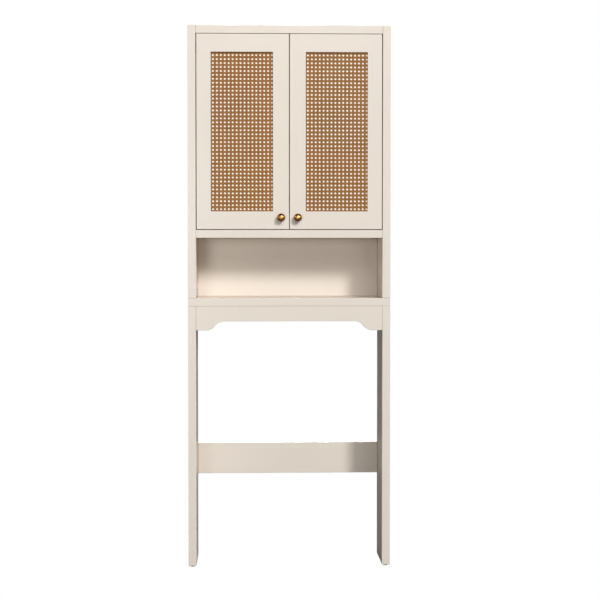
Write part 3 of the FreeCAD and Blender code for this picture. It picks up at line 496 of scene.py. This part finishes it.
def cast_zinc(colours):
    """Raw die-cast zinc alloy of the cam nuts."""
    # Die-cast zinc gives the eye a dull grey skin with a grit. Real grit is about 0.2 mm, too fine to
    # show, so it is drawn at 1 mm.
    finish, tree = new_finish("raw_die_cast_zinc")
    place = add_node(tree, "ShaderNodeTexCoord").outputs["Object"]
    grit = add_node(tree, "ShaderNodeTexNoise", {"Vector": place, "Scale": spots(1.0), "Detail": 3.0})
    colour = add_node(tree, "ShaderNodeMix", {
        0: grit.outputs["Fac"], 6: opaque(colours.cast_zinc, 0.82), 7: opaque(colours.cast_zinc),
    }, data_type="RGBA")
    dull = add_node(tree, "ShaderNodeMapRange", {
        "Value": grit.outputs["Fac"], "From Min": 0.3, "From Max": 0.7, "To Min": 0.42, "To Max": 0.58})
    bump = add_node(tree, "ShaderNodeBump", {
        "Height": grit.outputs["Fac"], "Strength": 0.25, "Distance": 0.0001})
    shader = add_node(tree, "ShaderNodeBsdfPrincipled", {
        "Base Color": colour.outputs[2], "Metallic": 1.0, "Roughness": dull.outputs["Result"],
        "Normal": bump.outputs["Normal"]})
    add_node(tree, "ShaderNodeOutputMaterial", {"Surface": shader.outputs["BSDF"]})
    return finish


def moulded_plastic(name, colour):
    """Injection-moulded polypropylene, such as a glide or a cover cap."""
    # Moulded polypropylene gives the eye a smooth, slightly waxy face with a spark-eroded texture. Real
    # texture is about 0.1 mm, too fine to show, so it is drawn at 1 mm.
    finish, tree = new_finish(name)
    place = add_node(tree, "ShaderNodeTexCoord").outputs["Object"]
    texture = add_node(tree, "ShaderNodeTexNoise", {"Vector": place, "Scale": spots(1.0)})
    shade = add_node(tree, "ShaderNodeMix", {
        0: texture.outputs["Fac"], 6: opaque(colour, 0.97), 7: opaque(colour)}, data_type="RGBA")
    waxy = add_node(tree, "ShaderNodeMapRange", {
        "Value": texture.outputs["Fac"], "From Min": 0.3, "From Max": 0.7, "To Min": 0.38, "To Max": 0.5})
    bump = add_node(tree, "ShaderNodeBump", {
        "Height": texture.outputs["Fac"], "Strength": 0.1, "Distance": 0.0001})
    shader = add_node(tree, "ShaderNodeBsdfPrincipled", {
        "Base Color": shade.outputs[2], "Roughness": waxy.outputs["Result"],
        "Normal": bump.outputs["Normal"], "IOR": 1.49})
    add_node(tree, "ShaderNodeOutputMaterial", {"Surface": shader.outputs["BSDF"]})
    return finish


def sintered_ferrite(colours):
    """Pressed and sintered ceramic magnet."""
    # Ferrite gives the eye a matt charcoal with pale dust in its pores. Real pores are under 0.1 mm,
    # too fine to show, so they are drawn at about 1 mm.
    finish, tree = new_finish("sintered_ferrite")
    place = add_node(tree, "ShaderNodeTexCoord").outputs["Object"]
    pores = add_node(tree, "ShaderNodeTexNoise", {"Vector": place, "Scale": spots(1.11), "Detail": 3.0})
    dust = add_node(tree, "ShaderNodeMapRange", {
        "Value": pores.outputs["Fac"], "From Min": 0.4, "From Max": 0.75})
    colour = add_node(tree, "ShaderNodeMix", {
        0: dust.outputs["Result"], 6: opaque(colours.ferrite), 7: opaque(colours.ferrite, 2.2)},
        data_type="RGBA")
    bump = add_node(tree, "ShaderNodeBump", {
        "Height": pores.outputs["Fac"], "Strength": 0.2, "Distance": 0.0001})
    shader = add_node(tree, "ShaderNodeBsdfPrincipled", {
        "Base Color": colour.outputs[2], "Roughness": 0.62, "Normal": bump.outputs["Normal"]})
    add_node(tree, "ShaderNodeOutputMaterial", {"Surface": shader.outputs["BSDF"]})
    return finish


def turned_beech(colours):
    """Beech dowel rod, unfinished."""
    # Beech gives the eye a pinkish tan with short dark rays, 0.7 mm wide and 2 to 3 mm long. They run
    # along X, the way of the dowels between a side and a board.
    finish, tree = new_finish("unfinished_beech")
    place = add_node(tree, "ShaderNodeTexCoord").outputs["Object"]
    grain = add_node(tree, "ShaderNodeMapping", {"Vector": place, "Scale": (0.3, 1.0, 1.0)})
    rays = add_node(tree, "ShaderNodeTexNoise", {
        "Vector": grain.outputs["Vector"], "Scale": spots(0.714)})
    flecks = add_node(tree, "ShaderNodeMapRange", {
        "Value": rays.outputs["Fac"], "From Min": 0.55, "From Max": 0.7})
    colour = add_node(tree, "ShaderNodeMix", {
        0: flecks.outputs["Result"], 6: opaque(colours.beech), 7: opaque(colours.beech_fleck)},
        data_type="RGBA")
    bump = add_node(tree, "ShaderNodeBump", {
        "Height": rays.outputs["Fac"], "Strength": 0.2, "Distance": 0.0001})
    shader = add_node(tree, "ShaderNodeBsdfPrincipled", {
        "Base Color": colour.outputs[2], "Roughness": 0.65, "Normal": bump.outputs["Normal"]})
    add_node(tree, "ShaderNodeOutputMaterial", {"Surface": shader.outputs["BSDF"]})
    return finish


def finish_slot(slot, finish):
    """Gives a finish to every CAD node whose own material is the slot's."""
    found = 0
    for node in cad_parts.values():
        for place in node.material_slots:
            if place.material is not None and place.material.name.split(".")[0] == slot:
                place.material = finish
                found += 1
    if not found:
        raise RuntimeError(f"no node has the material slot {slot}")


# ---- Operators: one for each group of like pieces -------------------------------------------
class RACK_OT_lacquer_boards(bpy.types.Operator):
    """Lacquer the boards, the door frames and the shelf"""
    bl_idname = "rack.lacquer_boards"
    bl_label = "Lacquer Boards"

    def execute(self, context):
        finish_slot("painted_board", lacquered_board(context.scene.rack_finishes))
        return {"FINISHED"}


class RACK_OT_coat_backing(bpy.types.Operator):
    """Coat the boards behind the cane and their beads"""
    bl_idname = "rack.coat_backing"
    bl_label = "Coat Backing"

    def execute(self, context):
        finish_slot("backing_board", lacquered_hardboard(context.scene.rack_finishes))
        return {"FINISHED"}


class RACK_OT_weave_cane(bpy.types.Operator):
    """Weave the cane of both doors: upright pairs, level pairs and two ways of diagonals"""
    bl_idname = "rack.weave_cane"
    bl_label = "Weave Cane"

    def execute(self, context):
        cane = context.scene.rack_cane
        finish = peeled_cane(cane)
        finish_slot("natural_cane", finish)
        for number, side in enumerate(("left", "right")):
            node = "cane_panel_" + side
            low, high = (np.array(corner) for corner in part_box(node))
            chance = np.random.default_rng(CANE_SEED + number)
            sheet = (low, high, cane, finish, chance)
            pieces = [
                self.straight_strands("cane_uprights_" + side, *sheet, upright=True),
                self.straight_strands("cane_levels_" + side, *sheet, upright=False),
                self.slanting_strands("cane_diagonals_" + side, *sheet),
            ]
            for piece in pieces:
                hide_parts(node)
                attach(piece, side + "_door")
        return {"FINISHED"}

    @staticmethod
    def section(width, thickness):
        """A flat oval of six points: full width in the middle, just over half of it at the faces."""
        half, flat, thick = width / 2, width * FACE_SHARE / 2, thickness / 2
        front = [(half, 0.0), (flat, thick), (-flat, thick)]
        return np.concatenate([front, np.negative(front)])

    @staticmethod
    def origin(low, high, cane):
        """The middle of the lowest left hole, at the sheet's mid-depth."""
        reach = cane.sheet_reach
        return np.array([low[0] + reach + cane.first_hole, (low[1] + high[1]) / 2,
                         low[2] + reach + cane.last_hole])

    def woven(self, name, line, live, width, palest, cane, finish, chance):
        """Carries the section along the lines. A tone of 0 is pale and 1 is dark, and each strand's own
        is drawn between the palest one and half a step darker."""
        section = self.section(width, cane.thickness)
        points, faces, length, side, strand = carried_section(line, live, section)
        tone, start = chance.random((2, len(line)))
        tone = palest + tone / 2
        along = length + CANE_LENGTH * start[strand]
        coordinates = np.stack([along, strand * STRAND_STEP + side / width], axis=-1)
        return add_piece(name, points, faces, finish, STRAND_SHARP, coordinates, tone[strand])

    def straight_strands(self, name, low, high, cane, finish, chance, upright):
        """Pairs of strands midway between the columns, or the rows, of holes.

        With a hole's middle at 0, pair k stands at (k + 1/2) pitch and its two strands one spread to
        each side. Along the strand the way out to the front is rise * (-1)^k * sin(pi * run / pitch)
        for uprights, and the opposite for levels, so each crosses over one and under the next."""
        pitch, spread, half = cane.pitch, cane.pair_spread, cane.straight_width / 2
        start = self.origin(low, high, cane)
        over, along = (0, 2) if upright else (2, 0)
        span_low, span_high = low[over] - start[over], high[over] - start[over]
        run_low, run_high = low[along] - start[along], high[along] - start[along]
        pair = np.arange(math.floor(span_low / pitch) - 1, math.ceil(span_high / pitch) + 1)
        place = (((pair + 0.5) * pitch)[:, None] + np.array([-spread, spread])).ravel()
        sign = np.repeat(np.where(pair % 2 == 0, 1.0, -1.0), 2) * (1.0 if upright else -1.0)
        inside = (place > span_low + half) & (place < span_high - half)
        place, sign = place[inside], sign[inside]
        steps = math.ceil((run_high - run_low) / pitch * SAMPLES_PER_PITCH)
        run = np.linspace(run_low, run_high, steps + 1)
        line = np.empty((len(place), len(run), 3))
        line[:, :, over] = start[over] + place[:, None]
        line[:, :, along] = start[along] + run
        line[:, :, 1] = start[1] - cane.straight_rise * sign[:, None] * np.sin(np.pi * run / pitch)
        live = np.ones((len(place), len(run) - 1), dtype=bool)
        return self.woven(name, line, live, cane.straight_width, 0.0, cane, finish, chance)

    def slanting_strands(self, name, low, high, cane, finish, chance):
        """Diagonals of both ways, each midway between two slanting lines of holes.

        The rising way is x - z = (n + 1/2) pitch and the falling way x + z = (n + 1/2) pitch, with a
        hole's middle at 0, 0. The rising way stands out by -rise * sin(pi/2 * cos(2 pi x / pitch)), in
        front of the uprights and behind the levels, and the falling way stands out by the opposite."""
        pitch, inset = cane.pitch, cane.end_inset
        start = self.origin(low, high, cane)
        (x_low, _, z_low), (x_high, _, z_high) = low - start + inset, high - start - inset
        way, number = np.meshgrid((1.0, -1.0), np.arange(
            math.floor((x_low - z_high) / pitch) - 1, math.ceil((x_high + z_high) / pitch) + 1))
        way, shift = way.ravel(), (number.ravel() + 0.5) * pitch
        reach = np.sort(np.stack([shift + way * z_low, shift + way * z_high]), axis=0)
        first, last = np.maximum(reach[0], x_low), np.minimum(reach[1], x_high)
        shortest = pitch / 4
        long_enough = last - first > shortest
        way, shift, first, last = (value[long_enough, None] for value in (way, shift, first, last))
        steps = math.ceil((x_high - x_low) / pitch * SAMPLES_PER_PITCH)
        x = np.clip(np.linspace(x_low, x_high, steps + 1), first, last)
        out = -way * cane.slanting_rise * np.sin(np.pi / 2 * np.cos(2 * np.pi * x / pitch))
        line = start + np.stack([x, -out, way * (x - shift)], axis=-1)
        live = np.diff(x, axis=1) > SHORTEST_STEP
        return self.woven(name, line, live, cane.slanting_width, 0.5, cane, finish, chance)


class RACK_OT_turn_knobs(bpy.types.Operator):
    """Turn the two brass ball knobs"""
    bl_idname = "rack.turn_knobs"
    bl_label = "Turn Knobs"

    def execute(self, context):
        knob = context.scene.rack_knob
        finish = antique_brass(knob)
        for side in ("left", "right"):
            node = "knob_" + side
            low, high = (np.array(corner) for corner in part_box(node))
            radius, out = self.profile(knob, (high[0] - low[0]) / 2)
            centre = ((low[0] + high[0]) / 2, high[1], (low[2] + high[2]) / 2)
            points, faces, coordinates = turned_profile(radius, out, centre, knob.turns)
            piece = add_piece("ball_knob_" + side, points, faces, finish, KNOB_SHARP, coordinates)
            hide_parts(node)
            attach(piece, side + "_door")
        return {"FINISHED"}

    @staticmethod
    def profile(knob, ball):
        """Radius and distance from the door, from the bore's end round the foot to the ball's top.

        The foot's rim is two quarter circles: with R the flange's radius, T its thickness and e its
        rounding, radius = R - e + e sin(t), distance = e - e cos(t), and then radius = R - e + e cos(t),
        distance = T - e + e sin(t). The ball is the arc radius = B sin(t), distance = standoff + B -
        B cos(t), with B the ball's radius, from the neck's radius to t = pi."""
        quarter = np.linspace(0.0, np.pi / 2, RIM_POINTS)
        rounding, flat = knob.flange_round, knob.flange_radius - knob.flange_round
        start = math.asin(knob.neck_radius / ball)
        arc = np.linspace(start, np.pi, BALL_POINTS)
        radius = np.concatenate([
            [0.0, knob.bore_radius, knob.bore_radius],
            flat + rounding * np.sin(quarter), flat + rounding * np.cos(quarter),
            ball * np.sin(arc[:-1]), [0.0]])
        out = np.concatenate([
            [knob.bore_depth, knob.bore_depth, 0.0],
            rounding - rounding * np.cos(quarter),
            knob.flange_thickness - rounding + rounding * np.sin(quarter),
            knob.standoff + ball - ball * np.cos(arc)])
        return radius, out


class RACK_OT_plate_hinges(bpy.types.Operator):
    """Plate the hinges, the strikes and the wall brackets"""
    bl_idname = "rack.plate_hinges"
    bl_label = "Plate Hinges"

    def execute(self, context):
        finish_slot("nickel_steel", plated_nickel(context.scene.rack_finishes))
        return {"FINISHED"}


class RACK_OT_finish_fixings(bpy.types.Operator):
    """Finish the screws, bolts, cams, dowels, caps, glides and the catch"""
    bl_idname = "rack.finish_fixings"
    bl_label = "Finish Fixings"

    def execute(self, context):
        colours = context.scene.rack_finishes
        finish_slot("zinc_screw", plated_zinc(colours))
        finish_slot("zinc_cam", cast_zinc(colours))
        finish_slot("white_plastic", moulded_plastic("moulded_white_polypropylene", colours.white_plastic))
        finish_slot("cream_plastic", moulded_plastic("moulded_cream_polypropylene", colours.cream_plastic))
        finish_slot("ferrite", sintered_ferrite(colours))
        finish_slot("beech", turned_beech(colours))
        return {"FINISHED"}


class RACK_OT_set_stage(bpy.types.Operator):
    """Lay the floor, hang the lights and set up the camera"""
    bl_idname = "rack.set_stage"
    bl_label = "Set Stage"

    def execute(self, context):
        studio = context.scene.rack_studio
        context.scene.view_settings.view_transform = "Standard"
        self.lay_floor(studio)
        self.light_surround(context, studio)
        self.hang_lights(studio)
        self.place_camera(context, studio)
        return {"FINISHED"}

    @staticmethod
    def lay_floor(studio):
        """A grey floor, so that it throws little light up, that the camera sees as the backdrop."""
        half = studio.floor_size / 2
        corners = [(-half, -half, 0.0), (half, -half, 0.0), (half, half, 0.0), (-half, half, 0.0)]
        mesh = bpy.data.meshes.new("studio_floor")
        mesh.from_pydata(corners, [], [(0, 1, 2, 3)])
        finish, tree = new_finish("grey_seamless_paper")
        seen = add_node(tree, "ShaderNodeLightPath").outputs["Is Camera Ray"]
        paper = add_node(tree, "ShaderNodeBsdfDiffuse", {"Color": opaque(studio.floor)}).outputs["BSDF"]
        glow = add_node(tree, "ShaderNodeEmission", {"Color": opaque(studio.backdrop)}).outputs["Emission"]
        mixed = add_node(tree, "ShaderNodeMixShader", {0: seen, 1: paper, 2: glow}).outputs[0]
        add_node(tree, "ShaderNodeOutputMaterial", {"Surface": mixed})
        mesh.materials.append(finish)
        floor = bpy.data.objects.new("studio_floor", mesh)
        bpy.context.scene.collection.objects.link(floor)

    @staticmethod
    def light_surround(context, studio):
        """A white backdrop for the camera and a dim even light for the rack."""
        world = bpy.data.worlds.new("studio")
        context.scene.world = world
        world.use_nodes = True
        tree = world.node_tree
        tree.nodes.clear()
        seen = add_node(tree, "ShaderNodeLightPath").outputs["Is Camera Ray"]
        dim = add_node(tree, "ShaderNodeBackground", {"Color": opaque(studio.surround)}).outputs[0]
        bright = add_node(tree, "ShaderNodeBackground", {"Color": opaque(studio.backdrop)}).outputs[0]
        mixed = add_node(tree, "ShaderNodeMixShader", {0: seen, 1: dim, 2: bright}).outputs[0]
        add_node(tree, "ShaderNodeOutputWorld", {"Surface": mixed})

    @staticmethod
    def hang(name, kind, azimuth, elevation, **settings):
        """A light round the rack, turned towards its middle line."""
        light = bpy.data.lights.new(name, kind)
        for key, value in settings.items():
            setattr(light, key, value)
        lamp = bpy.data.objects.new(name, light)
        lamp.visible_camera = False
        level = math.cos(elevation)
        way = np.array([math.sin(azimuth) * level, -math.cos(azimuth) * level, math.sin(elevation)])
        lamp.location = way * LIGHT_DISTANCE + np.array([0.0, 0.0, LIGHT_AIM])
        lamp.rotation_euler = (math.pi / 2 - elevation, 0.0, azimuth)
        bpy.context.scene.collection.objects.link(lamp)

    def hang_lights(self, studio):
        """A key from the front right, soft fills round the front, and even lights on the other sides."""
        self.hang("key_light", "SUN", studio.key_azimuth, studio.key_elevation,
                  energy=studio.key_strength, angle=studio.key_softness)
        for name, (power, azimuth, elevation, wide, high) in SOFT_LIGHTS.items():
            self.hang(name, "AREA", math.radians(azimuth), math.radians(elevation),
                      energy=getattr(studio, power), shape="RECTANGLE", size=wide, size_y=high)
        for name, (strength, azimuth, elevation) in EVEN_LIGHTS.items():
            self.hang(name, "SUN", math.radians(azimuth), math.radians(elevation),
                      energy=getattr(studio, strength), angle=studio.even_softness)

    @staticmethod
    def place_camera(context, studio):
        """The camera, level across, turned a little to the right and down."""
        lens = bpy.data.cameras.new("studio_camera")
        lens.sensor_width = 36.0
        lens.lens = studio.lens
        lens.clip_end = 100.0
        camera = bpy.data.objects.new("studio_camera", lens)
        camera.location = studio.camera_place
        camera.rotation_euler = (math.pi / 2 - studio.camera_pitch, 0.0, -studio.camera_yaw)
        context.scene.collection.objects.link(camera)
        context.scene.camera = camera


class RACK_PT_panel(bpy.types.Panel):
    """The rack's steps and sizes"""
    bl_idname = "RACK_PT_panel"
    bl_label = "Storage Rack"
    bl_space_type = "VIEW_3D"
    bl_region_type = "UI"
    bl_category = "Rack"

    def draw(self, context):
        layout = self.layout
        for step in STEPS:
            layout.operator(step.bl_idname)
        for name in GROUPS:
            group = getattr(context.scene, name)
            box = layout.box()
            box.label(text=group.bl_rna.description)
            for setting in group.bl_rna.properties.keys():
                if setting not in {"rna_type", "name"}:
                    box.prop(group, setting)


STEPS = (RACK_OT_lacquer_boards, RACK_OT_coat_backing, RACK_OT_weave_cane, RACK_OT_turn_knobs,
         RACK_OT_plate_hinges, RACK_OT_finish_fixings, RACK_OT_set_stage)
GROUPS = {"rack_cane": RackCaneSizes, "rack_knob": RackKnobSizes, "rack_finishes": RackFinishColours,
          "rack_studio": RackStudio}


def register():
    for part in (*GROUPS.values(), *STEPS, RACK_PT_panel):
        bpy.utils.register_class(part)
    for name, group in GROUPS.items():
        setattr(bpy.types.Scene, name, bpy.props.PointerProperty(type=group))


def unregister():
    for name in GROUPS:
        delattr(bpy.types.Scene, name)
    for part in reversed((*GROUPS.values(), *STEPS, RACK_PT_panel)):
        bpy.utils.unregister_class(part)


def main():
    """Makes every piece in order."""
    register()
    for step in STEPS:
        group, name = step.bl_idname.split(".")
        getattr(getattr(bpy.ops, group), name)()


if __name__ == "__main__":
    main()
